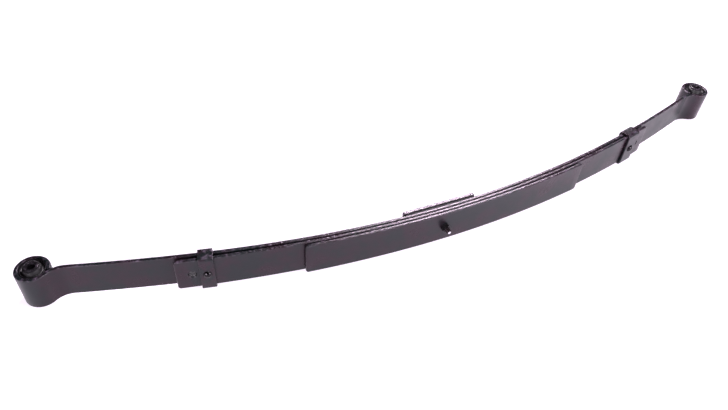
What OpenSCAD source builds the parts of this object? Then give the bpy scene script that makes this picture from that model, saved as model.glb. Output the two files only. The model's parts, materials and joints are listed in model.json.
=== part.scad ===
// Semi-elliptic leaf spring: a main leaf with a rolled eye at each end, two shorter
// leaves under it, a seat plate on its hollow side, and a centre bolt through them all.
//
// The spring lies on its side. X runs from the front eye to the rear eye, Y points to
// the hollow side, where the axle seats, and Z runs across the leaves. The origin is on
// the centre bolt's axis, at the seat plate's outer face, halfway across the leaves.

/* [Leaves] */
// Width of every leaf
leaf_w = 63.5; // [50:0.5:80]
// Thickness of the main leaf
main_t = 7; // [5.5:0.1:8.5]
// Thickness of the second leaf
second_t = 7; // [5.5:0.1:8.5]
// Thickness of the third leaf
third_t = 7; // [5.5:0.1:8.5]
// Second leaf's length forward of the centre bolt
second_front = 457; // [380:1:550]
// Second leaf's length behind the centre bolt
second_rear = 512; // [425:1:600]
// Third leaf's length forward of the centre bolt
third_front = 252; // [150:1:310]
// Third leaf's length behind the centre bolt
third_rear = 309; // [150:1:372]
// Corner radius of the second and third leaves' ends
end_corner_r = 5; // [2:0.5:10]

/* [Camber] */
// Distance along X from the centre bolt to the front eye
front_len = 662.7; // [620:0.1:800]
// Distance along X from the centre bolt to the rear eye
rear_len = 717.7; // [680:0.1:870]
// Height the front half climbs by the front eye
front_rise = 112; // [80:0.5:140]
// Height the rear half climbs by the rear eye
rear_rise = 131.5; // [100:0.5:160]
// How much the front half straightens towards its eye
front_fade = 0.134; // [0:0.001:0.25]
// How much the rear half straightens towards its eye
rear_fade = 0.11; // [0:0.001:0.25]
// Gap between the main and second leaves at the second leaf's front end
front_tip_gap = 5; // [1.5:0.1:8]
// Gap between the main and second leaves at the second leaf's rear end
rear_tip_gap = 2.2; // [1.5:0.1:8]
// Gap between the second and third leaves at the third leaf's ends
third_tip_gap = 1.2; // [0.3:0.1:4]
// Paint between two leaves where the bolt clamps them
paint_gap = 0.1; // [0.05:0.05:0.3]

/* [Eyes] */
// Bore of both rolled eyes
eye_bore = 41; // [36:0.5:48]
// Radius of the bend that brings the leaf round to the eye, at mid-thickness
eye_bend_r = 38; // [30:0.5:50]
// Space left between the rolled end and the leaf it closes on
eye_mouth = 1; // [0.5:0.1:3]

/* [Bushes] */
// Radial space between an eye and its bush
bush_clear = 0.15; // [0.05:0.05:0.3]
// Wall of the bush's outer shell
shell_wall = 1.6; // [1:0.1:3]
// How far the shell stops short of the leaf's edges
shell_inset = 1; // [0:0.5:4]
// Bore of the bush's inner sleeve
sleeve_bore = 14.4; // [10:0.1:16.5]
// Outer diameter of the inner sleeve
sleeve_od = 22; // [20:0.5:26]
// How far the sleeve stands out past each edge of the leaf
sleeve_proud = 6; // [3:0.5:12]
// Radial running space between the rubber and the sleeve
sleeve_clear = 0.05; // [0.02:0.01:0.1]
// Depth of the hollow moulded in each end face of the rubber
rubber_dish = 4; // [2:0.5:8]
// Radial thickness of the rubber collar round the sleeve
collar_wall = 2.6; // [1.5:0.1:3.5]
// How far the rubber collar stands out past the leaf's edge
collar_proud = 3; // [1:0.5:5]

/* [Seat] */
// Length of the seat plate
plate_len = 142; // [110:1:180]
// Thickness of the seat plate
plate_t = 6.5; // [4:0.5:10]
// Thickness of the spacer under the plate, at the bolt
spacer_t = 4.5; // [3.6:0.1:8]
// How far the spacer is set back from the plate's ends
spacer_end_inset = 4.5; // [2:0.5:10]
// How far the spacer is set back from the plate's long edges
spacer_edge_inset = 2; // [1:0.5:6]

/* [Centre bolt] */
// Diameter of the centre bolt
bolt_d = 9.5; // [8:0.1:12.7]
// Diameter of the bolt's round locating head
bolt_head_d = 16; // [14.5:0.5:22]
// Height of the locating head
bolt_head_h = 9; // [6:0.5:14]
// Width of the washer flange round the head, let into the seat plate
bolt_flange_w = 2; // [1:0.5:4]
// Thickness of the washer flange
bolt_flange_h = 1.5; // [1:0.1:2.5]
// Diametral room round the bolt and its flange in every hole they pass
bolt_hole_room = 0.6; // [0.3:0.1:1.5]
// How far the bolt ends beyond the third leaf
bolt_proud = 16.5; // [12.5:0.5:24]
// Size of the nut across its flats
nut_flats = 14.3; // [14:0.1:21]
// Thickness of the nut
nut_t = 8.3; // [6:0.1:11]
// Depth of the thread's pitch line under its crest, at which the nut holds the bolt
thread_mid = 0.35; // [0.25:0.05:0.5]
// Room between bolt and nut at the pitch line
thread_clear = 0.05; // [0.02:0.01:0.1]

/* [Rebound clips] */
// Width of the front clip along the spring
front_clip_w = 24; // [20:1:36]
// Width of the rear clip along the spring
rear_clip_w = 33; // [20:1:36]
// Thickness of the clips' strap
strap_t = 4; // [3:0.25:5]
// Room between a clip and the leaf faces
clip_face_clear = 0.4; // [0.3:0.1:1]
// Room between a clip's legs and the leaf edges
clip_edge_clear = 0.4; // [0.3:0.1:2]
// Length of each leg that is folded over the main leaf
clip_fold = 14; // [8:1:22]
// Distance from each second-leaf end to the middle of its clip
clip_from_tip = 49; // [46:1:70]
// Diameter of the clip rivets' heads
rivet_head_d = 15; // [10:0.5:17]
// Height of the clip rivets' heads
rivet_head_h = 4.8; // [2.5:0.1:5]
// Diameter of the clip rivets' shanks
rivet_d = 7.8; // [6:0.1:8.5]
// Radial room round a shank that passes the second leaf
shank_clear = 0.3; // [0.2:0.05:0.6]

/* [Tip liners] */
// Diameter of the wear pads between the leaf ends
liner_d = 38; // [30:1:40]
// Diameter of the button that holds a pad in the second leaf
button_d = 12.5; // [9:0.5:16]
// Distance from each second-leaf end to the middle of its pad
liner_from_tip = 26; // [24:1:28]
// Space between a pad and each leaf it touches
liner_clear = 0.15; // [0.1:0.05:0.3]

/* [Hidden] */
$fn = 96;

FRONT = -1;              // sign of X on the front half
REAR = 1;                // sign of X on the rear half
station = 20;            // spacing of the points along a leaf
through = 60;            // longer than any hole is deep
bend_steps = 12;         // flats along each eye's bend
trim = 1;                // extra width a leaf has on each edge before it is cut true
seam = 0.3;              // how far the bend runs into the roll, so that they fuse

eye_r = eye_bore / 2;
eye_mid_r = eye_r + main_t / 2;
// From the end of the camber curve to the eye's centre, along the leaf's tangent
eye_reach = sqrt(eye_mid_r * eye_mid_r + 2 * eye_bend_r * eye_mid_r);
// Angle the bend turns through before it meets the roll
bend_angle = 90 - atan2(eye_bend_r, eye_reach);
// Angle at the eye between the bend's centre and where roll and leaf would touch
roll_start = 270 - bend_angle;
roll_far_r = eye_r + main_t + eye_mouth;
bend_far_r = eye_bend_r + main_t / 2;
centres = eye_bend_r + eye_mid_r;
mouth_angle = acos((centres * centres + roll_far_r * roll_far_r - bend_far_r * bend_far_r)
                   / (2 * centres * roll_far_r));

shell_r = eye_r - bush_clear;
rubber_r = shell_r - shell_wall;
sleeve_r = sleeve_od / 2;
rubber_bore_r = sleeve_r + sleeve_clear;
bolt_hole_r = (bolt_d + bolt_hole_room) / 2;
bolt_flange_r = bolt_head_d / 2 + bolt_flange_w;

// ---- Camber curve: the main leaf's hollow face ----

function half_len(x) = x < 0 ? front_len : rear_len;
function rise(x) = x < 0 ? front_rise : rear_rise;
function fade(x) = x < 0 ? front_fade : rear_fade;
function share(x) = x * x / (half_len(x) * half_len(x));
function camber(x) = rise(x) * share(x) * (1 + fade(x) * (1 - share(x)));
function slope(x) = rise(x) * 2 * x / (half_len(x) * half_len(x))
                    * (1 + fade(x) * (1 - 2 * share(x)));
function tilt(x) = atan(slope(x));

// A point that lies drop below the hollow face, square to it, at station x
function under(x, drop) = [x + drop * sin(tilt(x)),
                           camber(x) - plate_t - spacer_t - drop * cos(tilt(x))];

// Where the camber curve stops, so that the eye's centre lands at the half's length:
// each pass takes the tilt at the last answer, and a few passes settle it
function settle(side, x, passes) =
    passes == 0 ? x
    : settle(side, side * (half_len(side) - eye_reach * cos(tilt(x))) - main_t / 2 * sin(tilt(x)),
             passes - 1);
function bend_start(side) = settle(side, side * half_len(side), 6);

// ---- Eye bends, in the eye's own frame: X outwards, Y to the hollow side ----

function polar(r, a) = [r * cos(a), r * sin(a)];

// One face of the bend: out is 1 on the hollow side and -1 on the other. The last
// point runs seam into the roll, and one more lies inside the roll's wall.
function bend_face(out) = concat(
    [for (i = [1 : bend_steps])
        [-eye_reach, -eye_bend_r]
        + polar(eye_bend_r + out * main_t / 2 + (i == bend_steps ? seam : 0),
                90 - bend_angle * i / bend_steps)],
    [polar(eye_mid_r - out * main_t / 4, roll_start + 4)]);

// A point of the eye's frame, in the part's frame
function from_eye(side, p) =
    let (x = bend_start(side), root = under(x, main_t / 2), a = tilt(x))
    root + side * (eye_reach + p[0]) * [cos(a), sin(a)] + p[1] * [-sin(a), cos(a)];

function bend_outline(side, out) = [for (p = bend_face(out)) from_eye(side, p)];

function backwards(list) = [for (i = [len(list) - 1 : -1 : 0]) list[i]];

function stations(a, b) = concat([a],
    [for (i = [floor(a / station) + 1 : ceil(b / station) - 1]) i * station], [b]);

// ---- Depth of each leaf below the hollow face ----

function second_len(x) = x < 0 ? second_front : second_rear;
function third_len(x) = x < 0 ? third_front : third_rear;
function tip_gap(x) = x < 0 ? front_tip_gap : rear_tip_gap;
function second_top(x) = main_t + paint_gap + tip_gap(x) * pow(x / second_len(x), 2);
function second_low(x) = second_top(x) + second_t;
function third_top(x) = second_low(x) + paint_gap + third_tip_gap * pow(x / third_len(x), 2);
function third_low(x) = third_top(x) + third_t;

// ---- Shared shapes ----

// Children stand at station x, drop below the hollow face, turned with the leaf
module on_leaf(x, drop) {
    spot = under(x, drop);
    translate([spot[0], spot[1], 0]) rotate([0, 0, tilt(x)]) children();
}

// A cylinder along Y from y0 to y1
module rod_y(r, y0, y1) {
    translate([0, y1, 0]) rotate([90, 0, 0]) cylinder(r = r, h = y1 - y0);
}

// A curved strip between two depths, from station a to station b
module strip(a, b, top, low, w) {
    xs = stations(a, b);
    last = len(xs) - 1;
    linear_extrude(height = w, center = true)
        polygon(concat([for (i = [0 : last]) under(xs[i], top(xs[i]))],
                       [for (i = [last : -1 : 0]) under(xs[i], low(xs[i]))]));
}

// What is cut away to round the two corners of a leaf's end at station x
module end_corners(x, drop) {
    side = sign(x);
    margin = 1;
    edge = leaf_w / 2 - end_corner_r;
    on_leaf(x, drop)
        for (z = [-1, 1])
            difference() {
                translate([side * (margin - end_corner_r) / 2, 0, z * (edge + (margin + end_corner_r) / 2)])
                    cube([end_corner_r + margin, through, end_corner_r + margin], center = true);
                translate([-side * end_corner_r, 0, z * edge])
                    rod_y(end_corner_r, -through, through);
            }
}

// Places children at an eye's centre, X outwards along the leaf, Y to the hollow side
module at_eye(side) {
    x = bend_start(side);
    on_leaf(x, main_t / 2)
        mirror([side == FRONT ? 1 : 0, 0, 0])
            translate([eye_reach, 0, 0]) children();
}

// The roll of one eye: a ring, open where its end comes round to face the bend
module roll() {
    far = 2 * roll_far_r;
    difference() {
        cylinder(r = eye_r + main_t, h = leaf_w + 2 * trim, center = true);
        linear_extrude(height = leaf_w + 4 * trim, center = true) difference() {
            polygon([[0, 0], polar(far, roll_start - mouth_angle), polar(far, roll_start)]);
            translate([-eye_reach, -eye_bend_r]) circle(r = eye_bend_r + main_t / 4);
        }
    }
}

// The centre bolt's hole through everything it clamps
module bolt_hole() {
    rod_y(bolt_hole_r, -through, through);
}

// ---- Leaves ----

module main_leaf() {
    xs = stations(bend_start(FRONT), bend_start(REAR));
    reach = 2 * (front_len + rear_len);
    color("#4a464e") difference() {
        intersection() {
            union() {
                linear_extrude(height = leaf_w + 2 * trim, center = true)
                    polygon(concat([for (x = xs) under(x, 0)],
                                   bend_outline(REAR, 1), backwards(bend_outline(REAR, -1)),
                                   [for (x = backwards(xs)) under(x, main_t)],
                                   bend_outline(FRONT, -1), backwards(bend_outline(FRONT, 1))));
                for (side = [FRONT, REAR]) at_eye(side) roll();
            }
            cube([reach, reach, leaf_w], center = true);
        }
        for (side = [FRONT, REAR])
            at_eye(side) cylinder(r = eye_r, h = leaf_w + 4 * trim, center = true);
        bolt_hole();
    }
}

module second_leaf() {
    color("#56525b") difference() {
        strip(-second_front, second_rear, function(x) second_top(x), function(x) second_low(x), leaf_w);
        bolt_hole();
        for (end = [-second_front, second_rear]) {
            end_corners(end, second_top(end));
            on_leaf(clip_x(sign(end)), 0) rod_y(rivet_d / 2 + shank_clear, -through, 0);
            on_leaf(clip_x(sign(end)), second_top(clip_x(sign(end))))
                rod_y(rivet_head_d / 2 + shank_clear, -rivet_foot - shank_clear, through);
            on_leaf(liner_x(sign(end)), 0) rod_y(button_d / 2 + shank_clear, -through, 0);
        }
    }
}

module third_leaf() {
    color("#5f5a64") difference() {
        strip(-third_front, third_rear, function(x) third_top(x), function(x) third_low(x), leaf_w);
        bolt_hole();
        for (end = [-third_front, third_rear]) end_corners(end, third_top(end));
    }
}

// ---- Seat ----

module top_plate() {
    color("#423f46") difference() {
        translate([-plate_len / 2, -plate_t, -leaf_w / 2]) cube([plate_len, plate_t, leaf_w]);
        bolt_hole();
        rod_y(bolt_flange_r + bolt_hole_room / 2, -bolt_flange_h, through);
    }
}

module plate_spacer() {
    reach = plate_len / 2 - spacer_end_inset;
    xs = stations(-reach, reach);
    color("#1f1e22") difference() {
        linear_extrude(height = leaf_w - 2 * spacer_edge_inset, center = true)
            polygon(concat([[reach, -plate_t], [-reach, -plate_t]],
                           [for (x = xs) under(x, -paint_gap)]));
        bolt_hole();
    }
}

// ---- Centre bolt ----

module centre_bolt() {
    base = -plate_t - spacer_t - third_low(0);
    tip = base - bolt_proud;
    chamfer = 1.2;
    r = bolt_d / 2;
    head_r = bolt_head_d / 2;
    color("#8d8a90") rotate([-90, 0, 0]) rotate_extrude()
        polygon([[0, tip], [r - chamfer, tip], [r, tip + chamfer],
                 [r, base - nut_t - thread_clear], [r - thread_mid, base - nut_t - thread_clear],
                 [r - thread_mid, base + thread_clear], [r, base + thread_clear],
                 [r, -bolt_flange_h], [bolt_flange_r, -bolt_flange_h], [bolt_flange_r, 0], [head_r, 0],
                 [head_r, bolt_head_h - chamfer], [head_r - chamfer, bolt_head_h], [0, bolt_head_h]]);
}

module centre_nut() {
    base = -plate_t - spacer_t - third_low(0);
    corner_r = nut_flats / 2 / cos(30);
    flat_r = nut_flats / 2;
    bevel = (corner_r - flat_r) * 0.6;
    color("#2c2a2f") difference() {
        intersection() {
            translate([0, base, 0]) rotate([90, 0, 0]) cylinder(r = corner_r, h = nut_t, $fn = 6);
            rotate([-90, 0, 0]) rotate_extrude()
                polygon([[0, base], [flat_r, base], [corner_r, base - bevel],
                         [corner_r, base - nut_t + bevel], [flat_r, base - nut_t], [0, base - nut_t]]);
        }
        rod_y(bolt_d / 2 - thread_mid + thread_clear, base - nut_t - 1, base + 1);
    }
}

// ---- Bushes ----

module bush_shell(side) {
    color("#6d6a70") at_eye(side) difference() {
        cylinder(r = shell_r, h = leaf_w - 2 * shell_inset, center = true);
        cylinder(r = rubber_r, h = leaf_w, center = true);
    }
}

module bush_rubber(side) {
    collar_r = rubber_bore_r + collar_wall;
    rim = leaf_w / 2 - shell_inset;
    floor = rim - rubber_dish;
    top = leaf_w / 2 + collar_proud;
    color("#1b1a1d") at_eye(side) rotate_extrude()
        polygon([[rubber_bore_r, -top], [collar_r, -top], [collar_r + collar_proud, -floor],
                 [rubber_r - rubber_dish / 2, -floor], [rubber_r, -rim],
                 [rubber_r, rim], [rubber_r - rubber_dish / 2, floor],
                 [collar_r + collar_proud, floor], [collar_r, top], [rubber_bore_r, top]]);
}

module bush_sleeve(side) {
    length = leaf_w + 2 * sleeve_proud;
    color("#77737a") at_eye(side) difference() {
        cylinder(r = sleeve_r, h = length, center = true);
        cylinder(r = sleeve_bore / 2, h = length + 2, center = true);
    }
}

// ---- Rebound clips ----

function clip_x(side) = side * (second_len(side) - clip_from_tip);
function clip_w(side) = side == FRONT ? front_clip_w : rear_clip_w;
// Depth of a clip's strap below the hollow face, at its inner surface
function clip_depth(side) = max(second_low(clip_x(side) - clip_w(side) / 2),
                                second_low(clip_x(side) + clip_w(side) / 2)) + clip_face_clear;
// How deep a rivet's flush foot sits in the second leaf
rivet_foot = 2;

module clip(side) {
    depth = clip_depth(side);
    inner_w = leaf_w + 2 * clip_edge_clear;
    outer_w = inner_w + 2 * strap_t;
    w = clip_w(side);
    color("#3b383e") on_leaf(clip_x(side), 0) difference() {
        translate([-w / 2, -depth - strap_t, -outer_w / 2])
            cube([w, depth + clip_face_clear + 2 * strap_t, outer_w]);
        translate([-w, -depth, -inner_w / 2]) cube([2 * w, depth + clip_face_clear, inner_w]);
        translate([-w, 0, -inner_w / 2 + clip_fold])
            cube([2 * w, clip_face_clear + 2 * strap_t, inner_w - 2 * clip_fold]);
        rod_y(rivet_d / 2, -through, 0);
    }
}

module clip_rivet(side) {
    outside = -clip_depth(side) - strap_t;
    foot = -second_top(clip_x(side)) - shank_clear;
    head_r = rivet_head_d / 2;
    // The head is a cap of the sphere that passes its rim and its crown
    dome_r = (head_r * head_r + rivet_head_h * rivet_head_h) / (2 * rivet_head_h);
    color("#121114") on_leaf(clip_x(side), 0) {
        rod_y(rivet_d / 2, outside - rivet_head_h / 2, foot);
        rod_y(head_r, foot - rivet_foot, foot);
        intersection() {
            translate([0, outside - rivet_head_h + dome_r, 0]) sphere(r = dome_r);
            rod_y(head_r, outside - rivet_head_h, outside);
        }
    }
}

// ---- Tip liners ----

function liner_x(side) = side * (second_len(side) - liner_from_tip);

module tip_liner(side) {
    x = liner_x(side);
    color("#18171a") {
        intersection() {
            strip(x - liner_d, x + liner_d, function(s) main_t + liner_clear,
                  function(s) second_top(s) - liner_clear, leaf_w);
            on_leaf(x, 0) rod_y(liner_d / 2, -through, through);
        }
        on_leaf(x, 0) rod_y(button_d / 2, -second_low(x) + liner_clear, -second_top(x) + 2 * liner_clear);
    }
}

main_leaf();
second_leaf();
third_leaf();
top_plate();
plate_spacer();
centre_bolt();
centre_nut();
bush_shell(FRONT);  // front_bush_shell
bush_rubber(FRONT);  // front_bush_rubber
bush_sleeve(FRONT);  // front_bush_sleeve
bush_shell(REAR);  // rear_bush_shell
bush_rubber(REAR);  // rear_bush_rubber
bush_sleeve(REAR);  // rear_bush_sleeve
clip(FRONT);  // front_clip
clip_rivet(FRONT);  // front_clip_rivet
tip_liner(FRONT);  // front_tip_liner
clip(REAR);  // rear_clip
clip_rivet(REAR);  // rear_clip_rivet
tip_liner(REAR);  // rear_tip_liner
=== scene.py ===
"""Looks of a semi-elliptic leaf spring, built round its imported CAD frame.

Every bar is made the way the real one is: cut flat, drilled, its edges rounded, and
then bent to its camber, its eyes or its clip shape by one mapping. All lengths below
are millimetres unless a name says otherwise; meshes are in metres.
"""

import json
import logging
import math
from dataclasses import dataclass
from enum import Enum
from typing import Callable, ClassVar, Iterable, Sequence

import bmesh
import bpy
from bmesh.types import BMEdge, BMesh
from bpy.types import NodeSocket as Socket
from mathutils import Matrix, Vector


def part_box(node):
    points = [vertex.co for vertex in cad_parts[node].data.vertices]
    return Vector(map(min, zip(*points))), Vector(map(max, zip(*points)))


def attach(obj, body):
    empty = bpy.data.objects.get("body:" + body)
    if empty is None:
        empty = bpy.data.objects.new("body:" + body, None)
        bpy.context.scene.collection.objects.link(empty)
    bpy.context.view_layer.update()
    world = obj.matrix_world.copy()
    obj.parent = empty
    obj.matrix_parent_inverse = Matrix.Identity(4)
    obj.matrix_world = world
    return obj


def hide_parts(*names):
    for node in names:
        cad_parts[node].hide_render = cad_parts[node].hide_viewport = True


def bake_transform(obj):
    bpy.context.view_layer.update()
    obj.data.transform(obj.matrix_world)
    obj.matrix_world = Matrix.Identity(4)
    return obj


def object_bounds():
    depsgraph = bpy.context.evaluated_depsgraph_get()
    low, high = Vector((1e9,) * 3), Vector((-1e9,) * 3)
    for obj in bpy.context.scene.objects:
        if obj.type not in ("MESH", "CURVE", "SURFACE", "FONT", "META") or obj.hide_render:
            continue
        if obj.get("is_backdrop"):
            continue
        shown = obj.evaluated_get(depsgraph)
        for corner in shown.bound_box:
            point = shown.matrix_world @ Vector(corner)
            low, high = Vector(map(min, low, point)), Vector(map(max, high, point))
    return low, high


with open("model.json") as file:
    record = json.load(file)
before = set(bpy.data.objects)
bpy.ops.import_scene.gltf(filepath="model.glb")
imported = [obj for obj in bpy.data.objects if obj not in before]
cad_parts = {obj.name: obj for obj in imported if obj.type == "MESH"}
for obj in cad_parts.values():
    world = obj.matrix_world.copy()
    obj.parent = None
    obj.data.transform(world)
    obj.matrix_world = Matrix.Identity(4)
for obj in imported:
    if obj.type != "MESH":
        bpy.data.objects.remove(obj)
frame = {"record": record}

LOG = logging.getLogger("leaf_spring")
MM = 0.001
SAME = 1e-3  # points closer than this share a coordinate
MERGE = 1e-4  # points closer than this become one
Mapping = Callable[[Vector], Vector]
Pair = tuple[float, float]
Outline = list[Pair]


class Side(Enum):
    """The two halves of the spring, by the sign of X that each lies on."""

    FRONT = -1
    REAR = 1

    @property
    def sign(self) -> int:
        """The sign of X on this half."""
        return self.value

    @property
    def prefix(self) -> str:
        """How the names of this half's pieces begin."""
        return self.name.lower()

    @property
    def arm(self) -> str:
        """The CAD body that this half's end moves with."""
        return f"{self.prefix}_arm"

    @property
    def sleeve_body(self) -> str:
        """The CAD body of this half's inner bush sleeve."""
        return f"{self.prefix}_sleeve"


# ---- sizes and curves


@dataclass(frozen=True)
class StripPath:
    """A flat strip's middle line once it is bent: straight and round stretches.

    Each stretch is (length, turn in degrees); a turn of 0 is straight and a positive
    one turns left. Offsets are measured to the left of the line.
    """

    start: Pair
    heading: float
    stretches: tuple[Pair, ...]

    @property
    def length(self) -> float:
        """Length of the whole line."""
        return sum(length for length, _ in self.stretches)

    def place(self, along: float, offset: float) -> Pair:
        """Find where a point of the flat strip goes.

        Args:
            along: Distance along the strip from the path's start.
            offset: Distance to the left of the strip's middle line.

        Returns:
            The point in the path's plane.
        """
        u, v = self.start
        heading = math.radians(self.heading)
        left = along
        last = len(self.stretches) - 1
        for number, (length, turn) in enumerate(self.stretches):
            part = left if number == last else min(left, length)
            if turn == 0:
                u += part * math.cos(heading)
                v += part * math.sin(heading)
            else:
                radius = length / math.radians(turn)
                swung = part / radius
                u += radius * (math.sin(heading + swung) - math.sin(heading))
                v -= radius * (math.cos(heading + swung) - math.cos(heading))
                heading += swung
            left -= part
            if left <= 0:
                break
        return u - offset * math.sin(heading), v + offset * math.cos(heading)


def arc(radius: float, turn: float) -> Pair:
    """A round stretch of a StripPath, from its radius and its turn in degrees."""
    return radius * math.radians(abs(turn)), turn


@dataclass(frozen=True)
class Camber:
    """The main leaf's curve and eyes, and the depth of each leaf below it."""

    SOLVE_STEPS: ClassVar[int] = 6

    rise: Pair = (112.0, 131.5)
    fade: Pair = (0.134, 0.11)
    tip_gap: Pair = (5.0, 2.2)
    second_len: Pair = (457.0, 512.0)
    third_len: Pair = (252.0, 309.0)
    third_tip_gap: float = 1.2
    paint_gap: float = 0.1
    thickness: float = 7.0
    seat_height: float = 11.0
    eye_bore: float = 41.0
    bend_r: float = 38.0
    mouth: float = 1.0

    @staticmethod
    def pick(pair: Pair, x: float) -> float:
        """The front or the rear value of a pair, by the sign of x."""
        return pair[0] if x < 0 else pair[1]

    @staticmethod
    def eye_centre(side: Side) -> Vector:
        """The eye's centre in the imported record, in millimetres."""
        name = f"{side.prefix}_eye"
        found = [m for m in frame["record"]["mounts"] if m["name"] == name]
        return Vector(found[0]["pos_m"]) / MM

    @property
    def width(self) -> float:
        """Width of the leaves, from the frame."""
        low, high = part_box("main_leaf")
        return (high.z - low.z) / MM

    def half_len(self, x: float) -> float:
        """Distance from the bolt to the eye on x's half."""
        return abs(self.eye_centre(Side.FRONT if x < 0 else Side.REAR).x)

    def height(self, x: float) -> float:
        """Height of the main leaf's hollow face above its middle."""
        share = (x / self.half_len(x)) ** 2
        return self.pick(self.rise, x) * share * (1 + self.pick(self.fade, x) * (1 - share))

    def tilt(self, x: float) -> float:
        """Slope of the hollow face, as an angle in radians."""
        half = self.half_len(x)
        share = (x / half) ** 2
        steep = self.pick(self.rise, x) * 2 * x / half**2
        return math.atan(steep * (1 + self.pick(self.fade, x) * (1 - 2 * share)))

    def under(self, x: float, drop: float) -> Pair:
        """A point drop below the hollow face, square to it, at station x."""
        angle = self.tilt(x)
        return (x + drop * math.sin(angle),
                self.height(x) - self.seat_height - drop * math.cos(angle))

    def second_top(self, x: float) -> float:
        """Depth of the second leaf's upper face."""
        share = (x / self.pick(self.second_len, x)) ** 2
        return self.thickness + self.paint_gap + self.pick(self.tip_gap, x) * share

    def near_tip(self, side: Side, inset: float) -> float:
        """Station a distance in from the second leaf's tip."""
        return side.sign * (self.pick(self.second_len, side.sign) - inset)

    def third_top(self, x: float) -> float:
        """Depth of the third leaf's upper face."""
        share = (x / self.pick(self.third_len, x)) ** 2
        return self.second_top(x) + self.thickness + self.paint_gap + self.third_tip_gap * share

    @property
    def eye_mid_r(self) -> float:
        """Radius of an eye at the middle of the leaf's thickness."""
        return (self.eye_bore + self.thickness) / 2

    @property
    def eye_reach(self) -> float:
        """Distance from the end of the camber to the eye's centre."""
        return math.sqrt(self.eye_mid_r**2 + 2 * self.bend_r * self.eye_mid_r)

    @property
    def eye_path(self) -> StripPath:
        """The bend and the roll of an eye, in the eye's frame."""
        bend = 90 - math.degrees(math.atan2(self.bend_r, self.eye_reach))
        far_r = self.eye_bore / 2 + self.thickness + self.mouth
        bend_far_r = self.bend_r + self.thickness / 2
        centres = self.bend_r + self.eye_mid_r
        closing = math.degrees(math.acos(
            (centres**2 + far_r**2 - bend_far_r**2) / (2 * centres * far_r)))
        return StripPath((-self.eye_reach, 0.0), 0.0,
                         (arc(self.bend_r, -bend), arc(self.eye_mid_r, 360 - closing)))

    def bend_start(self, side: Side) -> float:
        """Station where the camber stops and the eye's bend begins."""
        x = self.eye_centre(side).x
        half = abs(x)
        for _ in range(self.SOLVE_STEPS):
            angle = self.tilt(x)
            x = (side.sign * (half - self.eye_reach * math.cos(angle))
                 - self.thickness / 2 * math.sin(angle))
        return x

    def on_leaf(self, x: float, drop: float, p: Vector) -> Vector:
        """Turn a point from the frame of the leaf at station x into the part's.

        Args:
            x: Station along the spring.
            drop: Depth of the frame's origin below the hollow face.
            p: Point in millimetres, with its Y towards the hollow side.

        Returns:
            The point in millimetres.
        """
        angle = self.tilt(x)
        root = self.under(x, drop)
        return Vector((root[0] + p.x * math.cos(angle) - p.y * math.sin(angle),
                       root[1] + p.x * math.sin(angle) + p.y * math.cos(angle), p.z))


# ---- mesh helpers


def box_mesh(low: Sequence[float], high: Sequence[float]) -> BMesh:
    """Start a block.

    Args:
        low: Its lowest corner.
        high: Its highest corner.

    Returns:
        The block as a bmesh.
    """
    bm = bmesh.new()
    bmesh.ops.create_cube(bm, size=1.0)
    size = Vector(high) - Vector(low)
    middle = (Vector(high) + Vector(low)) / 2
    bmesh.ops.transform(bm, matrix=Matrix.Translation(middle) @ Matrix.Diagonal(size).to_4x4(),
                        verts=bm.verts)
    return bm


def turned(profile: Iterable[Pair], steps: int = 64) -> BMesh:
    """Turn a profile about Z, as on a lathe.

    Args:
        profile: (radius, height) points round the closed outline, or from axis to axis.
        steps: Flats round the turn.

    Returns:
        The turned solid as a bmesh.
    """
    bm = bmesh.new()
    points = list(profile)
    verts = [bm.verts.new((r, 0.0, z)) for r, z in points]
    on_axis = points[0][0] == 0 and points[-1][0] == 0
    pairs = list(zip(verts, verts[1:])) + ([] if on_axis else [(verts[-1], verts[0])])
    edges = [bm.edges.new(pair) for pair in pairs]
    bmesh.ops.spin(bm, geom=verts + edges, cent=(0, 0, 0), axis=(0, 0, 1), angle=2 * math.pi,
                   steps=steps, use_merge=True, dvec=(0, 0, 0), use_duplicate=False)
    bmesh.ops.remove_doubles(bm, verts=bm.verts, dist=MERGE)
    bmesh.ops.recalc_face_normals(bm, faces=bm.faces)
    return bm


def cut_at(bm: BMesh, normal: Sequence[float], places: Iterable[float]) -> None:
    """Cut loops across a mesh, square to normal, at each distance along it."""
    direction = Vector(normal)
    for place in places:
        bmesh.ops.bisect_plane(bm, geom=bm.verts[:] + bm.edges[:] + bm.faces[:], dist=MERGE,
                               plane_co=direction * place, plane_no=direction)


def round_edges(bm: BMesh, edges: list[BMEdge], radius: float, segments: int) -> None:
    """Round edges with the bevel operator."""
    bmesh.ops.bevel(bm, geom=edges, offset=radius, offset_type="OFFSET", affect="EDGES",
                    segments=segments, profile=0.5, material=-1, clamp_overlap=True)


def lay_along_y(bm: BMesh, upwards: bool = True) -> None:
    """Turn a shape so that its +Z end points along +Y, or along -Y if not upwards."""
    angle = -math.pi / 2 if upwards else math.pi / 2
    bmesh.ops.rotate(bm, cent=(0, 0, 0), matrix=Matrix.Rotation(angle, 3, "X"), verts=bm.verts)


def edges_where(bm: BMesh, test: Callable[[Vector, Vector], bool]) -> list[BMEdge]:
    """The edges whose two end points pass a test."""
    return [e for e in bm.edges if test(e.verts[0].co, e.verts[1].co)]


def bend(bm: BMesh, mapping: Mapping) -> None:
    """Move every point of a flat mesh to its bent place."""
    for vert in bm.verts:
        vert.co = mapping(vert.co)


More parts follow.
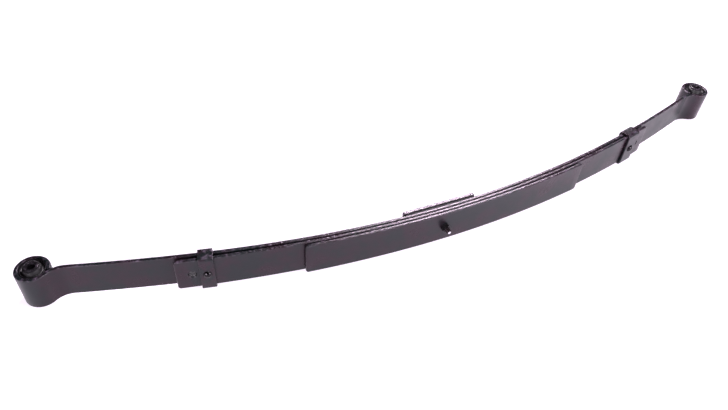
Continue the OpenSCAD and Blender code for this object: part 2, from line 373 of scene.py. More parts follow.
def as_object(bm: BMesh, name: str, crease: float = 40.0) -> bpy.types.Object:
    """Turn a bmesh in millimetres into an object in metres at the origin.

    Args:
        bm: The mesh, which is used up.
        name: The piece's name.
        crease: Angle in degrees past which an edge stays sharp.

    Returns:
        The new object.
    """
    bmesh.ops.scale(bm, vec=(MM, MM, MM), verts=bm.verts)
    mesh = bpy.data.meshes.new(name)
    bm.to_mesh(mesh)
    bm.free()
    mesh.shade_smooth()
    mesh.set_sharp_from_angle(angle=math.radians(crease))
    piece = bpy.data.objects.new(name, mesh)
    bpy.context.scene.collection.objects.link(piece)
    return piece


def machined(stock: BMesh, tool: BMesh, how: str) -> BMesh:
    """Combine a solid with a tool's shape.

    Args:
        stock: The solid, which is used up.
        tool: The other shape, which is used up.
        how: DIFFERENCE, INTERSECT or UNION.

    Returns:
        The result as a new bmesh.
    """
    made = []
    for bm, name in ((stock, "stock"), (tool, "tool")):
        mesh = bpy.data.meshes.new(name)
        bm.to_mesh(mesh)
        bm.free()
        thing = bpy.data.objects.new(name, mesh)
        bpy.context.scene.collection.objects.link(thing)
        made.append(thing)
    work, cutter = made
    modifier = work.modifiers.new("cut", "BOOLEAN")
    modifier.operation = how
    modifier.solver = "EXACT"
    modifier.object = cutter
    graph = bpy.context.evaluated_depsgraph_get()
    result = bmesh.new()
    result.from_mesh(work.evaluated_get(graph).to_mesh())
    for thing in made:
        mesh = thing.data
        bpy.data.objects.remove(thing)
        bpy.data.meshes.remove(mesh)
    return result


def spread(a: float, b: float, step: float) -> list[float]:
    """Places between a and b, no more than step apart, without the two ends."""
    count = max(1, math.ceil(abs(b - a) / step))
    return [a + (b - a) * i / count for i in range(1, count)]


# ---- finishes


def linear(code: str) -> tuple[float, float, float, float]:
    """Turn an sRGB hex colour such as "#4a464e" to linear red, green, blue and 1."""
    parts = [int(code[i:i + 2], 16) / 255 for i in (1, 3, 5)]
    return tuple(p / 12.92 if p <= 0.04045 else ((p + 0.055) / 1.055) ** 2.4
                 for p in parts) + (1.0,)


def add_node(tree: bpy.types.NodeTree, kind: str, settings: dict | None = None,
             links: dict | None = None) -> bpy.types.Node:
    """Add a node with its settings and links.

    Args:
        tree: The node tree.
        kind: The node's type.
        settings: Attributes and input values, by name.
        links: Output sockets to join, by the name or number of the input.

    Returns:
        The new node.
    """
    node = tree.nodes.new(kind)
    for key, value in (settings or {}).items():
        if isinstance(key, str) and hasattr(node, key):
            setattr(node, key, value)
        else:
            node.inputs[key].default_value = value
    for key, output in (links or {}).items():
        tree.links.new(output, node.inputs[key])
    return node


class MaterialTree:
    """A material's nodes, all on the piece's own coordinates."""

    def __init__(self, name: str) -> None:
        """Start an empty material of this name."""
        self.material = bpy.data.materials.new(name)
        self.material.use_nodes = True
        self.tree = self.material.node_tree
        self.tree.nodes.clear()
        self.where = self.add("TexCoord").outputs["Object"]

    def add(self, kind: str, settings: dict | None = None,
            links: dict | None = None) -> bpy.types.Node:
        """Add a shader node, by its type without the prefix."""
        return add_node(self.tree, f"ShaderNode{kind}", settings, links)

    def noise(self, size_mm: float, detail: float, roughness: float = 0.5) -> Socket:
        """Add noise with features of a size in millimetres."""
        return self.add("TexNoise", {"Scale": 1.0 / (size_mm * MM), "Detail": detail,
                                     "Roughness": roughness},
                        {"Vector": self.where}).outputs["Fac"]

    def axis(self, name: str) -> Socket:
        """The coordinate along one axis, in metres."""
        return self.add("SeparateXYZ", {}, {"Vector": self.where}).outputs[name]

    def ranged(self, value: Socket, source: Pair = (0.0, 1.0),
               target: Pair = (0.0, 1.0)) -> Socket:
        """Map a value from one range to another, clamped."""
        return self.add("MapRange", {"From Min": source[0], "From Max": source[1],
                                     "To Min": target[0], "To Max": target[1]},
                        {"Value": value}).outputs["Result"]

    def product(self, a: Socket, b: Socket) -> Socket:
        """Multiply two values."""
        return self.add("Math", {"operation": "MULTIPLY"}, {0: a, 1: b}).outputs[0]

    def mixed(self, share: Socket, first: str | Socket, second: str) -> Socket:
        """Mix a hex colour or a socket with a second hex colour."""
        settings, links = {"data_type": "RGBA", 7: linear(second)}, {0: share}
        if isinstance(first, str):
            settings[6] = linear(first)
        else:
            links[6] = first
        return self.add("Mix", settings, links).outputs[2]

    def bump(self, height: Socket, strength: float, depth_mm: float,
             links: dict | None = None) -> Socket:
        """Add a bump, over the normal in links if one is given."""
        return self.add("Bump", {"Strength": strength, "Distance": depth_mm * MM},
                        {"Height": height, **(links or {})}).outputs["Normal"]

    def finish(self, settings: dict, colour: Socket, roughness: Socket,
               normal: Socket) -> bpy.types.Material:
        """Join the shader to the output and give the material."""
        shader = self.add("BsdfPrincipled", settings,
                          {"Base Color": colour, "Roughness": roughness, "Normal": normal})
        self.add("OutputMaterial", {}, {"Surface": shader.outputs[0]})
        return self.material


@dataclass(frozen=True)
class Paint:
    """Black chassis enamel, dipped or sprayed and air-dried over rolled steel.

    It gives a satin dark skin: reflections of the pale floor that brighten towards grazing angles,
    a fine orange peel, and rubbed, shinier patches along the edges, whose lighter dust colour is
    partly real dust and partly a painted highlight speckle.
    """

    name: str
    body: str = "#190e15"
    haze: str = "#0a1213"
    dust: str = "#77697a"
    sheen: str = "#fbeef9"
    ior: float = 1.41
    roughness: float = 0.3
    rubbed: float = 0.2
    mottle_mm: float = 46.0
    peel_mm: float = 2.2
    speck_mm: float = 8.0
    edge_z_mm: float = 29.6
    edge_fade_mm: float = 1.6
    rub_range: Pair = (0.5, 0.66)
    patch_range: Pair = (0.42, 0.58)
    dust_share: float = 0.35
    wear: float = 1.0

    def make(self) -> bpy.types.Material:
        """Build the material."""
        made = MaterialTree(self.name)
        mottle = made.noise(self.mottle_mm, 4.0, 0.6)
        peel = made.noise(self.peel_mm, 2.0)
        speck = made.noise(self.speck_mm, 3.0, 0.65)
        # The long edges of every leaf lie past edge_z_mm from its middle
        away = made.add("Math", {"operation": "ABSOLUTE"}, {0: made.axis("Z")}).outputs[0]
        edge = made.ranged(away, (self.edge_z_mm * MM, (self.edge_z_mm + self.edge_fade_mm) * MM))
        # Speckled edge mask: drives the real rubbed, shinier wear and the lighter edge colour,
        # which is partly dust and partly painted highlight
        wear_and_highlight_mask = made.product(edge, made.ranged(speck, self.rub_range))
        tone = made.mixed(made.ranged(mottle, self.patch_range), self.body, self.haze)
        # Lighter dust colour on the edges, partly real dust and partly a painted highlight speckle
        dust_highlight_amount = made.add("Math", {"operation": "MULTIPLY", 1: self.dust_share * self.wear},
                         {0: wear_and_highlight_mask}).outputs[0]
        colour = made.mixed(dust_highlight_amount, tone, self.dust)
        gloss = made.ranged(mottle, (0.3, 0.7), (self.roughness - 0.05, self.roughness + 0.07))
        shine = made.add("Mix", {"data_type": "FLOAT", 3: self.rubbed}, {0: wear_and_highlight_mask, 2: gloss})
        rough = made.bump(peel, strength=0.12, depth_mm=0.2)
        chipped = made.bump(made.product(edge, speck), strength=0.9, depth_mm=1.4,
                            links={"Normal": rough})
        return made.finish({"IOR": self.ior, "Specular Tint": linear(self.sheen)},
                           colour, shine.outputs[0], chipped)


@dataclass(frozen=True)
class Rubber:
    """Moulded natural rubber, black and matt, with a faint grey bloom.

    The bloom lifts it off the paint, and the mould's fine texture scatters highlights.
    """

    name: str
    body: str = "#0c0a0c"
    bloom: str = "#1a171b"
    roughness: float = 0.5
    grain_mm: float = 1.1
    bloom_mm: float = 9.0

    def make(self) -> bpy.types.Material:
        """Build the material."""
        made = MaterialTree(self.name)
        cloud = made.noise(self.bloom_mm, 5.0)
        grain = made.noise(self.grain_mm, 2.0)
        tone = made.mixed(cloud, self.body, self.bloom)
        gloss = made.ranged(cloud, target=(self.roughness - 0.12, self.roughness + 0.12))
        rough = made.bump(grain, strength=0.25, depth_mm=0.2)
        return made.finish({"IOR": 1.52}, tone, gloss, rough)


@dataclass(frozen=True)
class OiledSteel:
    """Heat-blackened bolt steel, with its tip ground bright after the nut went on.

    The black oxide gives a dark, slightly oily metal, and the tip a small bright spark.
    """

    name: str
    oxide: str = "#1d1a1f"
    rust: str = "#2e2426"
    bright: str = "#d6d2d9"
    roughness: float = 0.34
    bright_r_mm: float = 2.6
    bright_mm: float = 0.6
    fade_mm: float = 0.5
    stain_mm: float = 5.0
    mark_mm: float = 0.8

    def make(self) -> bpy.types.Material:
        """Build the material."""
        made = MaterialTree(self.name)
        stain = made.noise(self.stain_mm, 4.0)
        marks = made.noise(self.mark_mm, 2.0)
        oxide = made.mixed(stain, self.oxide, self.rust)
        # The bolt's tip is its lowest point along Y
        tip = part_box("centre_bolt")[0].y + self.bright_mm * MM
        near = made.ranged(made.axis("Y"), (tip, tip + self.fade_mm * MM), (1.0, 0.0))
        flat = made.add("VectorMath", {"operation": "MULTIPLY", 1: (1, 0, 1)}, {0: made.where})
        radius = made.add("VectorMath", {"operation": "LENGTH"}, {0: flat.outputs[0]})
        inside = made.ranged(radius.outputs["Value"], (self.bright_r_mm * MM,
                                                       (self.bright_r_mm + self.fade_mm) * MM),
                             (1.0, 0.0))
        tone = made.mixed(made.product(near, inside), oxide, self.bright)
        gloss = made.ranged(marks, target=(self.roughness - 0.08, self.roughness + 0.16))
        rough = made.bump(marks, strength=0.15, depth_mm=0.1)
        return made.finish({"Metallic": 1.0}, tone, gloss, rough)


class Finish(Enum):
    """The finishes on the spring, each named for the real material."""

    LEAF_ENAMEL = Paint("satin_black_enamel_on_spring_steel")
    SEAT_ENAMEL = Paint("satin_black_enamel_on_seat_steel")
    CLIP_ENAMEL = Paint("satin_black_enamel_on_clip_strap", mottle_mm=14.0, edge_z_mm=34.0)
    RIVET_GLOSS = Paint("gloss_black_enamel_on_rivet", body="#050405", haze="#070608", ior=1.33,
                        roughness=0.13, mottle_mm=8.0, peel_mm=1.6, wear=0.0)
    SPACER_COMPOSITE = Rubber("pressed_fibre_spacer", body="#0f0e11", bloom="#1c1b1f",
                              roughness=0.75)
    BUSH_RUBBER = Rubber("moulded_natural_rubber")
    LINER_NYLON = Rubber("moulded_black_nylon", body="#0d0c0e", bloom="#171518", roughness=0.42,
                         grain_mm=0.8)
    SLEEVE_STEEL = Paint("black_enamel_on_bush_steel", body="#151316", haze="#1d1b1f",
                         roughness=0.22, mottle_mm=7.0, edge_z_mm=36.5)
    BOLT_STEEL = OiledSteel("black_oxide_bolt_steel")
    NUT_ENAMEL = Paint("satin_black_enamel_on_nut", body="#0c0a0c", haze="#100e11",
                       roughness=0.26, mottle_mm=9.0, wear=0.0)


MATERIALS: dict[Finish, bpy.types.Material] = {}


def dress(piece: bpy.types.Object, finish: Finish) -> bpy.types.Object:
    """Give a piece its material.

    Args:
        piece: The piece.
        finish: Its finish.

    Returns:
        The same piece.
    """
    if finish not in MATERIALS:
        MATERIALS[finish] = finish.value.make()
    piece.data.materials.clear()
    piece.data.materials.append(MATERIALS[finish])
    LOG.info("%s: %d faces, %s", piece.name, len(piece.data.polygons), MATERIALS[finish].name)
    return piece


def flex(piece: bpy.types.Object) -> None:
    """Bake a piece's placement into its mesh."""
    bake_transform(piece)


# ---- the leaves


@dataclass(frozen=True)
class LeafPack:
    """The three leaves. Each is made as two halves that meet at the bolt."""

    camber: Camber
    edge_r: float = 2.3
    corner_r: float = 5.0
    face_margin: float = 0.9
    edge_margin: float = 0.3
    station: float = 12.0
    roll_station: float = 2.6
    hole_clear: float = 0.35
    hole_break: float = 0.6

    def blank(self, side: Side, length: float, stations: Iterable[float],
              square_end: bool) -> BMesh:
        """Cut a flat bar with rounded edges, with its hollow face at Y = 0.

        Args:
            side: The half it is for.
            length: Its length from the bolt.
            stations: Where it is cut into short stretches, measured from the bolt.
            square_end: True where the free end's corners aren't rounded.

        Returns:
            The bar, along X.
        """
        half_w = self.camber.width / 2
        tip = side.sign * length
        thickness = self.camber.thickness
        bm = box_mesh((min(0, tip), -thickness, -half_w), (max(0, tip), 0, half_w))
        if not square_end:
            corners = edges_where(bm, lambda a, b: abs(a.x - tip) < SAME
                                  and abs(b.x - tip) < SAME and abs(a.z - b.z) < SAME)
            round_edges(bm, corners, self.corner_r, 6)
        # The faces' outlines, apart from the cut that meets the other half
        outline = edges_where(bm, lambda a, b: abs(a.y - b.y) < SAME
                              and not (abs(a.x) < SAME and abs(b.x) < SAME))
        round_edges(bm, outline, self.edge_r, 4)
        cut_at(bm, (1, 0, 0), [side.sign * s for s in stations])
        inner = half_w - self.edge_r - self.face_margin
        cut_at(bm, (0, 0, 1), [-inner, inner])
        margin = self.edge_r + self.edge_margin
        cut_at(bm, (0, 1, 0), [-margin, margin - thickness])
        return bm

    def drilled(self, bar: BMesh, x: float, radius: float) -> BMesh:
        """Drill a bar through its thickness and break the hole's outer rim.

        Args:
            bar: The flat bar, which is used up.
            x: Place along the bar.
            radius: The hole's radius.

        Returns:
            The drilled bar.
        """
        thickness = self.camber.thickness
        drill = turned([(0, -thickness), (radius, -thickness), (radius, thickness),
                        (0, thickness)], 48)
        lay_along_y(drill, upwards=False)
        bmesh.ops.translate(drill, vec=(x, -thickness / 2, 0), verts=drill.verts)
        bar = machined(bar, drill, "DIFFERENCE")

        def on_rim(p: Vector) -> bool:
            """Whether a point lies on the hole's outer rim."""
            near = 0.02
            return (abs(math.hypot(p.x - x, p.z) - radius) < near
                    and abs(p.y + thickness) < near)

        round_edges(bar, edges_where(bar, lambda a, b: on_rim(a) and on_rim(b)),
                    self.hole_break, 1)
        return bar

    def main_half(self, side: Side) -> bpy.types.Object:
        """Make one half of the main leaf with its rolled eye."""
        camber = self.camber
        path = camber.eye_path
        start = abs(camber.bend_start(side))
        length = start + path.length
        stations = (spread(0, start, self.station) + [start]
                    + spread(start, length - self.edge_r, self.roll_station))
        bm = self.blank(side, length, stations, square_end=True)
        root_x = camber.bend_start(side)
        middle = camber.thickness / 2

        def forge(p: Vector) -> Vector:
            """Place a point of the flat bar on the camber, the bend or the roll."""
            past = abs(p.x) - start
            if past <= 0:
                return Vector((*camber.under(p.x, -p.y), p.z))
            u, v = path.place(past, p.y + middle)
            out = Vector((side.sign * (u + camber.eye_reach), v, p.z))
            return camber.on_leaf(root_x, middle, out)

        bend(bm, forge)
        piece = as_object(bm, f"{side.prefix}_main_leaf")
        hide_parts("main_leaf")
        return piece

    def short_half(self, side: Side, name: str, length: float,
                   depth: Callable[[float], float], hole: Pair | None
                   ) -> bpy.types.Object:
        """Make one half of a shorter leaf.

        Args:
            side: The half.
            name: The CAD node's name.
            length: Its length from the bolt.
            depth: The depth of its upper face below the main leaf's hollow face.
            hole: Place along the bar and radius of a hole, or None.

        Returns:
            The half as an object.
        """
        stations = spread(0, length - self.corner_r, self.station)
        bm = self.blank(side, length, stations, square_end=False)
        if hole is not None:
            bm = self.drilled(bm, *hole)
        camber = self.camber
        bend(bm, lambda p: Vector((*camber.under(p.x, depth(p.x) - p.y), p.z)))
        piece = as_object(bm, f"{side.prefix}_{name}")
        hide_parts(name)
        return piece

    def build(self, liners: "TipLiners") -> None:
        """Make and dress all six halves."""
        camber = self.camber
        for side in Side:
            hole = (liners.station(side), liners.button_d / 2 + self.hole_clear)
            halves = [
                self.main_half(side),
                self.short_half(side, "second_leaf", camber.pick(camber.second_len, side.sign),
                                camber.second_top, hole),
                self.short_half(side, "third_leaf", camber.pick(camber.third_len, side.sign),
                                camber.third_top, None),
            ]
            for half in halves:
                dress(half, Finish.LEAF_ENAMEL)
                flex(half)


# ---- tip liners


@dataclass(frozen=True)
class TipLiners:
    """Nylon pads that part the leaf ends, each held by a button in the second leaf."""

    camber: Camber
    pad_d: float = 38.0
    button_d: float = 12.5
    from_tip: float = 26.0
    clear: float = 0.15
    recess: float = 0.5
    dimple: float = 0.9

    def station(self, side: Side) -> float:
        """Where the pad's middle lies along the spring."""
        return self.camber.near_tip(side, self.from_tip)

    def pad(self, side: Side) -> BMesh:
        """Make the pad, filling the gap between the two leaves."""
        camber = self.camber
        x0 = self.station(side)
        rim = self.pad_d / 2
        bm = turned([(0, 0), (rim - 0.5, 0), (rim, 0.2), (rim, 0.8), (rim - 0.5, 1), (0, 1)], 64)
        cut_at(bm, (1, 0, 0), spread(-rim, rim, 6))

        def fill(p: Vector) -> Vector:
            """Place a point of the flat disc between the leaves."""
            x = x0 + p.x
            low = camber.second_top(x) - self.clear
            high = camber.thickness + self.clear
            return Vector((*camber.under(x, high + (low - high) * (1 - p.z)), -p.y))

        bend(bm, fill)
        bmesh.ops.recalc_face_normals(bm, faces=bm.faces)
        return bm

    def button(self, side: Side) -> BMesh:
        """Make the button that passes through the second leaf."""
        camber = self.camber
        x = self.station(side)
        r = self.button_d / 2
        face = camber.second_top(x) + camber.thickness - self.recess
        top = camber.second_top(x) - self.clear
        floor = -face + self.dimple
        bm = turned([(0, floor), (r * 0.45, floor), (r * 0.62, -face),
                     (r - 0.8, -face), (r, -face + 0.8), (r, -top), (0, -top)], 48)
        lay_along_y(bm)
        bend(bm, lambda p: camber.on_leaf(x, 0, p))
        return bm

    def build(self) -> None:
        """Make both liners."""
        for side in Side:
            node = f"{side.prefix}_tip_liner"
            for bm, name in ((self.pad(side), f"{node}_pad"),
                             (self.button(side), f"{node}_button")):
                piece = as_object(bm, name)
                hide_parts(node)
                dress(piece, Finish.LINER_NYLON)
                flex(piece)


# ---- rebound clips


@dataclass(frozen=True)
class ReboundClips:
    """Steel straps bent round the second and main leaves, each with one rivet."""

    camber: Camber
    widths: Pair = (24.0, 33.0)
    strap_t: float = 4.0
    face_clear: float = 0.4
    edge_clear: float = 0.4
    fold: float = 14.0
    from_tip: float = 49.0
    bend_r: float = 2.0
    bend_step: float = 1.2
    tip_r: float = 4.0
    edge_r: float = 0.8
    edge_margin: float = 0.5
    head_d: float = 15.0
    head_h: float = 4.8
    shank_d: float = 7.8
    foot_t: float = 2.0
    foot_clear: float = 0.3
    dome_steps: int = 10

    def station(self, side: Side) -> float:
        """Where the clip's middle lies along the spring."""
        return self.camber.near_tip(side, self.from_tip)

    def depth(self, side: Side) -> float:
        """Depth of the strap's inner surface below the hollow face."""
        x, w = self.station(side), self.camber.pick(self.widths, side.sign)
        low = max(self.camber.second_top(x - w / 2), self.camber.second_top(x + w / 2))
        return low + self.camber.thickness + self.face_clear

    def strap(self, side: Side) -> bpy.types.Object:
        """Bend a flat strap round the two leaves."""
        camber = self.camber
        depth = self.depth(side)
        half_w = camber.width / 2 + self.edge_clear
        mid_r = self.bend_r + self.strap_t / 2
        mid_out = self.strap_t / 2
        fold = self.fold - self.bend_r
        leg = depth + self.face_clear - 2 * self.bend_r
        base = 2 * (half_w - self.bend_r)
        quarter = arc(mid_r, 90)
        path = StripPath((-half_w + self.fold, self.face_clear + mid_out), 180.0,
                         ((fold, 0), quarter, (leg, 0), quarter, (base, 0), quarter, (leg, 0),
                          quarter, (fold, 0)))
        width = camber.pick(self.widths, side.sign)
        bm = box_mesh((-width / 2, -mid_out, 0), (width / 2, mid_out, path.length))
        tips = edges_where(bm, lambda a, b: abs(a.z - b.z) < SAME and abs(a.x - b.x) < SAME)
        round_edges(bm, tips, self.tip_r, 5)
        rims = edges_where(bm, lambda a, b: abs(a.y - b.y) < SAME)
        round_edges(bm, rims, self.edge_r, 3)
        places, done = [], 0.0
        for length, turn in path.stretches:
            if turn:
                places += [done] + spread(done, done + length, self.bend_step)
            done += length
            if turn:
                places.append(done)
        cut_at(bm, (0, 0, 1), places)
        inner = width / 2 - self.edge_r - self.edge_margin
        cut_at(bm, (1, 0, 0), [-inner, inner])
        x0 = self.station(side)

        def wrap(p: Vector) -> Vector:
            """Place a point of the flat strap round the leaves."""
            z, n = path.place(p.z, p.y)
            return camber.on_leaf(x0, 0, Vector((p.x, n, z)))

        bend(bm, wrap)
        bmesh.ops.recalc_face_normals(bm, faces=bm.faces)
        return as_object(bm, f"{side.prefix}_clip_strap")

    def rivet(self, side: Side) -> bpy.types.Object:
        """Make a domed rivet with its shank and flush foot."""
        camber = self.camber
        x = self.station(side)
        outside = -self.depth(side) - self.strap_t
        foot = -camber.second_top(x) - self.foot_clear
        r, shank_r = self.head_d / 2, self.shank_d / 2
        dome_r = (r * r + self.head_h**2) / (2 * self.head_h)
        sweep = math.asin(r / dome_r)
        steps = self.dome_steps
        dome = [(dome_r * math.sin(sweep * i / steps),
                 outside - self.head_h + dome_r * (1 - math.cos(sweep * i / steps)))
                for i in range(steps + 1)]
        profile = [(0.0, dome[0][1])] + dome[1:] + [
            (r - 0.3, outside), (shank_r, outside), (shank_r, foot - self.foot_t),
            (r, foot - self.foot_t), (r, foot), (0.0, foot)]
        bm = turned(profile, 48)
        lay_along_y(bm)
        bend(bm, lambda p: camber.on_leaf(x, 0, p))
        return as_object(bm, f"{side.prefix}_clip_rivet_head")

    def build(self) -> None:
        """Make both clips and their rivets."""
        for side in Side:
            strap = self.strap(side)
            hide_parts(f"{side.prefix}_clip")
            dress(strap, Finish.CLIP_ENAMEL)
            flex(strap)
            rivet = self.rivet(side)
            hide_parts(f"{side.prefix}_clip_rivet")
            dress(rivet, Finish.RIVET_GLOSS)
            flex(rivet)


# ---- bushes


@dataclass(frozen=True)
class Bushes:
    """The rubber bush in each eye: shell, rubber and inner sleeve."""

    camber: Camber
    shell_d: float = 40.7
    shell_wall: float = 1.6
    shell_inset: float = 1.0
    sleeve_d: float = 22.0
    sleeve_bore: float = 14.4
    collar_wall: float = 2.6
    collar_proud: float = 3.0
    dish: float = 4.0
    rubber_clear: float = 0.05

    def turned_in_eye(self, half: Outline, side: Side, name: str) -> bpy.types.Object:
        """Turn a profile, given by its upper half from inside to outside, and put it in an eye."""
        bm = turned(half + [(r, -z) for r, z in reversed(half)], 72)
        bmesh.ops.translate(bm, vec=self.camber.eye_centre(side), verts=bm.verts)
        return as_object(bm, name)

    def shell(self, side: Side) -> bpy.types.Object:
        """Make the outer shell, with its lip rolled slightly inwards."""
        top = self.camber.width / 2 - self.shell_inset
        r = self.shell_d / 2
        inner = r - self.shell_wall
        half = [(inner, top - 0.5), (inner + 0.4, top), (r - 0.6, top), (r, top - 0.6)]
        return self.turned_in_eye(half, side, f"{side.prefix}_bush_outer")

    def rubber(self, side: Side) -> bpy.types.Object:
        """Make the rubber, dished at each end with a collar round the sleeve."""
        edge = self.camber.width / 2
        rim = edge - self.shell_inset
        floor = rim - self.dish
        bore = self.sleeve_d / 2 + self.rubber_clear
        collar = bore + self.collar_wall
        outer = self.shell_d / 2 - self.shell_wall
        top = edge + self.collar_proud
        half = [(bore, top), (collar - 0.8, top), (collar - 0.2, top - 0.3), (collar, top - 0.9),
                (collar + 0.5, floor + 2.6), (collar + 1.1, floor + 1.2),
                (collar + 2.2, floor + 0.3),
                (collar + 3.2, floor), (outer - 2.6, floor), (outer - 1.2, floor + 0.5),
                (outer - 0.5, floor + 1.5), (outer, rim - 1.0)]
        return self.turned_in_eye(half, side, f"{side.prefix}_bush_moulding")

    def sleeve(self, side: Side) -> bpy.types.Object:
        """Make the inner sleeve, chamfered inside and out at both ends."""
        low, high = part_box(f"{side.prefix}_bush_sleeve")
        top = (high.z - low.z) / MM / 2
        bore, r = self.sleeve_bore / 2, self.sleeve_d / 2
        half = [(bore, top - 1.0), (bore + 0.8, top), (r - 1.0, top), (r - 0.3, top - 0.3),
                (r, top - 1.0)]
        return self.turned_in_eye(half, side, f"{side.prefix}_bush_inner")

    def build(self) -> None:
        """Make both bushes."""
        for side in Side:
            for piece, node, finish, slot, body in (
                (self.shell(side), "bush_shell", Finish.SLEEVE_STEEL, "bush_steel", side.arm),
                (self.rubber(side), "bush_rubber", Finish.BUSH_RUBBER, "bush_rubber", side.arm),
                (self.sleeve(side), "bush_sleeve", Finish.SLEEVE_STEEL, "bush_steel",
                 side.sleeve_body),
            ):
                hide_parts(f"{side.prefix}_{node}")
                dress(piece, finish)
                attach(piece, body)


# ---- seat and centre bolt


@dataclass(frozen=True)
class SeatAndBolt:
    """The seat plate, its spacer, and the bolt and nut that hold the pack together."""

    camber: Camber
    plate_corner_r: float = 3.0
    plate_edge_r: float = 1.4
    corner_margin: float = 0.5
    edge_margin: float = 0.4
    bolt_d: float = 9.5
    head_d: float = 16.0
    flange_w: float = 2.0
    flange_h: float = 1.5
    flange_room: float = 0.3
    thread_pitch: float = 1.06
    thread_depth: float = 0.55
    nut_flats: float = 14.3
    nut_turn: float = 22.0
    stand_proud: float = 0.05

    def plate(self) -> bpy.types.Object:
        """Make the seat plate from its CAD box."""
        low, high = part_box("top_plate")
        bm = box_mesh(low / MM, high / MM)
        upright = edges_where(bm, lambda a, b: abs(a.x - b.x) < SAME and abs(a.z - b.z) < SAME)
        round_edges(bm, upright, self.plate_corner_r, 5)
        rims = edges_where(bm, lambda a, b: abs(a.y - b.y) < SAME)
        round_edges(bm, rims, self.plate_edge_r, 4)
        inset = self.plate_corner_r + self.corner_margin
        reach, width = high.x / MM - inset, high.z / MM - inset
        cut_at(bm, (1, 0, 0), [-reach, reach])
        cut_at(bm, (0, 0, 1), [-width, width])
        margin = self.plate_edge_r + self.edge_margin
        cut_at(bm, (0, 1, 0), [low.y / MM + margin, high.y / MM - margin])
        recess_r = self.head_d / 2 + self.flange_w + self.flange_room
        cutter = turned([(0, -self.flange_h), (recess_r, -self.flange_h), (recess_r, -0.4),
                         (recess_r + 0.8, 0.4), (0, 0.4)], 72)
        lay_along_y(cutter)
        return as_object(machined(bm, cutter, "DIFFERENCE"), "seat_plate")

    def spacer(self) -> bpy.types.Object:
        """Make the spacer: flat against the plate, curved against the leaf."""
        low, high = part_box("plate_spacer")
        plate_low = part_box("top_plate")[0].y / MM
        gap = self.camber.paint_gap
        bm = box_mesh((low.x / MM, 0, low.z / MM), (high.x / MM, 1, high.z / MM))
        cut_at(bm, (1, 0, 0), spread(low.x / MM, high.x / MM, 10))

        def press(p: Vector) -> Vector:
            """Place a point between the main leaf and the plate."""
            curved = self.camber.under(p.x, -gap)[1]
            return Vector((p.x, curved + (plate_low - curved) * p.y, p.z))

        bend(bm, press)
        rims = edges_where(bm, lambda a, b: abs(abs(a.z) - high.z / MM) < SAME
                           and abs(abs(b.z) - high.z / MM) < SAME and abs(a.x - b.x) > 1)
        round_edges(bm, rims, 0.5, 2)
        return as_object(bm, "seat_spacer")

    def bolt(self) -> bpy.types.Object:
        """Turn the bolt: round head, plain shank, and thread rings to its tip."""
        low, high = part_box("centre_bolt")
        tip, head = low.y / MM, high.y / MM
        r, head_r = self.bolt_d / 2, self.head_d / 2
        flange_r = head_r + self.flange_w
        root = r - self.thread_depth
        thread_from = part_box("centre_nut")[1].y / MM
        count = int((thread_from - tip - 1.6) / self.thread_pitch)
        threads = []
        for i in range(count):
            y = tip + 1.2 + i * self.thread_pitch
            threads += [(r, y), (r, y + 0.12), (root, y + self.thread_pitch / 2)]
        profile = ([(0, tip + 0.4), (root * 0.5, tip + 0.2), (root * 0.8, tip), (root, tip + 0.3)]
                   + threads + [(r, tip + 1.4 + count * self.thread_pitch), (r, -self.flange_h),
                                (flange_r, -self.flange_h), (flange_r, -0.3), (flange_r - 0.3, 0),
                                (head_r + 0.4, 0), (head_r, 0.4), (head_r, head - 1.6),
                                (head_r - 0.5, head - 0.5), (head_r - 1.8, head), (0, head)])
        bm = turned(profile, 48)
        lay_along_y(bm)
        bmesh.ops.recalc_face_normals(bm, faces=bm.faces)
        return as_object(bm, "bolt_turned", crease=50)

    def nut(self) -> bpy.types.Object:
        """Make the hexagon nut, chamfered on both faces."""
        low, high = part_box("centre_nut")
        base, top = high.y / MM, low.y / MM
        flat_r = self.nut_flats / 2
        corner_r = flat_r / math.cos(math.pi / 6)
        height = base - top
        bm = bmesh.new()
        bmesh.ops.create_cone(bm, cap_ends=True, segments=6, radius1=corner_r, radius2=corner_r,
                              depth=height)
        fall = (corner_r - flat_r) * 0.62
        bore = self.bolt_d / 2 + self.stand_proud
        half = height / 2
        envelope = turned([(bore + 0.5, half), (flat_r, half), (corner_r + 0.1, half - fall),
                           (corner_r + 0.1, fall - half), (flat_r, -half), (bore + 0.5, -half),
                           (bore, 0.5 - half), (bore, half - 0.5)], 72)
        bm = machined(bm, envelope, "INTERSECT")
        lay_along_y(bm, upwards=False)
        bmesh.ops.rotate(bm, cent=(0, 0, 0), matrix=Matrix.Rotation(
            math.radians(self.nut_turn), 3, "Y"),
                         verts=bm.verts)
        bmesh.ops.translate(bm, vec=(0, (base + top) / 2, 0), verts=bm.verts)
        return as_object(bm, "bolt_nut", crease=25)

    def build(self) -> None:
        """Make the four pieces and fix them to the clamped middle."""
        for piece, node, finish, slot in (
            (self.plate(), "top_plate", Finish.SEAT_ENAMEL, "seat_steel"),
            (self.spacer(), "plate_spacer", Finish.SPACER_COMPOSITE, "spacer"),
            (self.bolt(), "centre_bolt", Finish.BOLT_STEEL, "bolt_steel"),
            (self.nut(), "centre_nut", Finish.NUT_ENAMEL, "nut_steel"),
        ):
            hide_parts(node)
            dress(piece, finish)
            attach(piece, "pack_centre")


# ---- studio


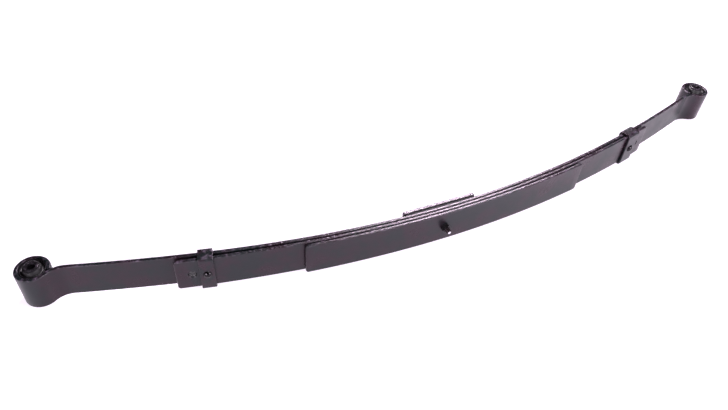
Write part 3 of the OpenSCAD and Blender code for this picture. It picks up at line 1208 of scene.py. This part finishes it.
@dataclass(frozen=True)
class Studio:
    """A pale floor, soft light and the camera. Lengths here are metres."""

    camera_at: tuple[float, float, float] = (-0.4960, -0.6901, 0.79515)
    yaw: float = 0.4451
    pitch: float = 0.7705
    roll: float = 0.0498
    lens: float = 31.757
    shift: Pair = (0.01645, 0.0170)
    sensor: float = 36.0
    floor_size: float = 9.0
    floor_glow: float = 0.86

    def camera(self) -> None:
        """Place the camera by its yaw from +Y, its pitch down and its roll."""
        forward = Vector((math.sin(self.yaw) * math.cos(self.pitch),
                          math.cos(self.yaw) * math.cos(self.pitch), -math.sin(self.pitch)))
        right = Vector((math.cos(self.yaw), -math.sin(self.yaw), 0))
        up = right.cross(forward)
        rolled_right = math.cos(self.roll) * right + math.sin(self.roll) * up
        rolled_up = math.cos(self.roll) * up - math.sin(self.roll) * right
        turn = Matrix((rolled_right, rolled_up, -forward)).transposed().to_4x4()
        data = bpy.data.cameras.new("camera")
        data.lens = self.lens
        data.sensor_width = self.sensor
        data.shift_x, data.shift_y = self.shift
        data.clip_start = 0.01
        camera = bpy.data.objects.new("camera", data)
        camera.matrix_world = Matrix.Translation(self.camera_at) @ turn
        bpy.context.scene.collection.objects.link(camera)
        bpy.context.scene.camera = camera

    def floor(self) -> None:
        """Lay the floor just under the lowest point of the spring."""
        low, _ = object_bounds()
        bm = bmesh.new()
        bmesh.ops.create_grid(bm, x_segments=1, y_segments=1, size=self.floor_size / 2 / MM)
        bmesh.ops.translate(bm, vec=(0, 0, low[2] / MM), verts=bm.verts)
        piece = as_object(bm, "floor")
        material = bpy.data.materials.new("backlit_white_acrylic")
        material.use_nodes = True
        shader = material.node_tree.nodes["Principled BSDF"]
        for name, value in (("Base Color", linear("#b3aeb6")), ("Roughness", 0.8),
                            ("Specular IOR Level", 0.1), ("Emission Color", linear("#f6edf9")),
                            ("Emission Strength", self.floor_glow)):
            shader.inputs[name].default_value = value
        piece.data.materials.append(material)
        piece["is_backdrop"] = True

    @staticmethod
    def softbox(name: str, at: Sequence[float], aim: Sequence[float],
                size: Pair, power: float, colour: str = "#ffffff") -> None:
        """Hang a soft rectangular light.

        Args:
            name: The light's name.
            at: Where it hangs.
            aim: What it faces.
            size: Its width and height.
            power: Its power in watts.
            colour: Its colour.
        """
        data = bpy.data.lights.new(name, "AREA")
        data.shape = "RECTANGLE"
        data.size, data.size_y = size
        data.energy = power
        data.color = linear(colour)[:3]
        light = bpy.data.objects.new(name, data)
        direction = Vector(aim) - Vector(at)
        light.matrix_world = (Matrix.Translation(at)
                              @ direction.to_track_quat("-Z", "Y").to_matrix().to_4x4())
        bpy.context.scene.collection.objects.link(light)

    @staticmethod
    def surroundings() -> None:
        """Surround the floor with a room that is bright low down and dim overhead."""
        world = bpy.data.worlds.new("room")
        bpy.context.scene.world = world
        world.use_nodes = True
        tree = world.node_tree
        tree.nodes.clear()
        where = add_node(tree, "ShaderNodeTexCoord").outputs["Generated"]
        height = add_node(tree, "ShaderNodeSeparateXYZ", {}, {"Vector": where}).outputs["Z"]
        ramp = add_node(tree, "ShaderNodeMapRange",
                        {"interpolation_type": "SMOOTHSTEP", "From Min": 0.0, "From Max": 0.14},
                        {"Value": height})
        tone = add_node(tree, "ShaderNodeMix",
                        {"data_type": "RGBA", 6: linear("#e9e6eb"), 7: linear("#232125")},
                        {0: ramp.outputs["Result"]})
        back = add_node(tree, "ShaderNodeBackground", {"Strength": 1.0},
                        {"Color": tone.outputs[2]})
        add_node(tree, "ShaderNodeOutputWorld", {}, {"Surface": back.outputs[0]})

    def build(self) -> None:
        """Set up the whole studio."""
        self.camera()
        self.floor()
        self.softbox("overhead", (0.42, -0.5, 1.9), (0.42, -0.4, 0), (1.2, 0.7), 24)
        self.softbox("far_side", (1.05, 1.35, 1.6), (0.05, 0.0, 0), (0.5, 0.4), 95, "#fbeefb")
        # Two low softboxes put the paired sparks on every round black piece
        self.softbox("left_front", (-2.0, -1.5, 0.75), (-0.3, 0.0, 0), (1.0, 0.8), 70, "#f6f0f9")
        self.softbox("right_front", (1.2, -1.7, 0.8), (0.0, 0.0, 0), (1.0, 0.8), 70, "#f6f0f9")
        self.surroundings()
        bpy.context.scene.view_settings.view_transform = "Standard"


def main() -> None:
    """Build every piece of the spring round the frame."""
    logging.basicConfig(level=logging.INFO, format="%(name)s %(message)s")
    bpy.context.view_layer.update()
    Studio().build()
    camber = Camber()
    liners = TipLiners(camber)
    LeafPack(camber).build(liners)
    liners.build()
    ReboundClips(camber).build()
    Bushes(camber).build()
    SeatAndBolt(camber).build()


if __name__ == "__main__":
    main()
